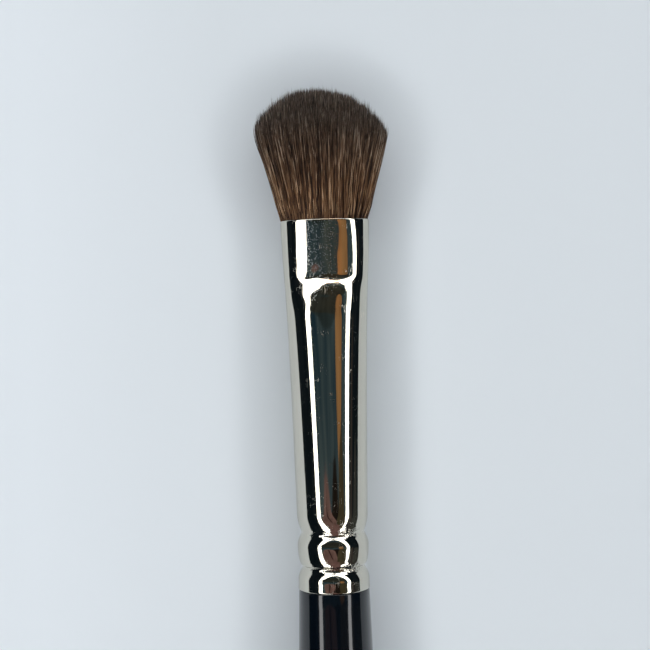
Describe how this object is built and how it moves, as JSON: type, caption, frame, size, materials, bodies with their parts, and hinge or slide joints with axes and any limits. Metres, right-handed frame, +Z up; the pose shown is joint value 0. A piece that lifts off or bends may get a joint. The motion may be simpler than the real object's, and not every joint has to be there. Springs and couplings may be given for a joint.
{
  "type": "eyeshadow brush",
  "caption": "Cosmetic brush for eyeshadow with a fanned, domed hair tuft, a pressed oval metal ferrule crimped on a slender lacquered handle.",
  "frame": {"origin": "centre of the underside of the brush's bounding box, on the surface that it lies on", "axes": "+Y along the brush towards the hair tip, +X across the broad side of the tuft, +Z up, out of a broad face"},
  "size_m": [0.0144, 0.1746, 0.009],
  "materials": {
    "hair": "natural brown hair with dark tips",
    "thread": "waxed binding thread",
    "resin": "clear amber cast resin",
    "nickel": "bright nickel plating on brass, lightly scratched",
    "glue": "hardened glue film",
    "lacquered_wood": "turned wood under black gloss lacquer"
  },
  "bodies": {
    "root": {"hair_tuft": "hair", "root_binding": "thread", "root_plug": "resin", "ferrule": "nickel", "tenon_glue": "glue", "handle": "lacquered_wood"}
  },
  "joints": []
}
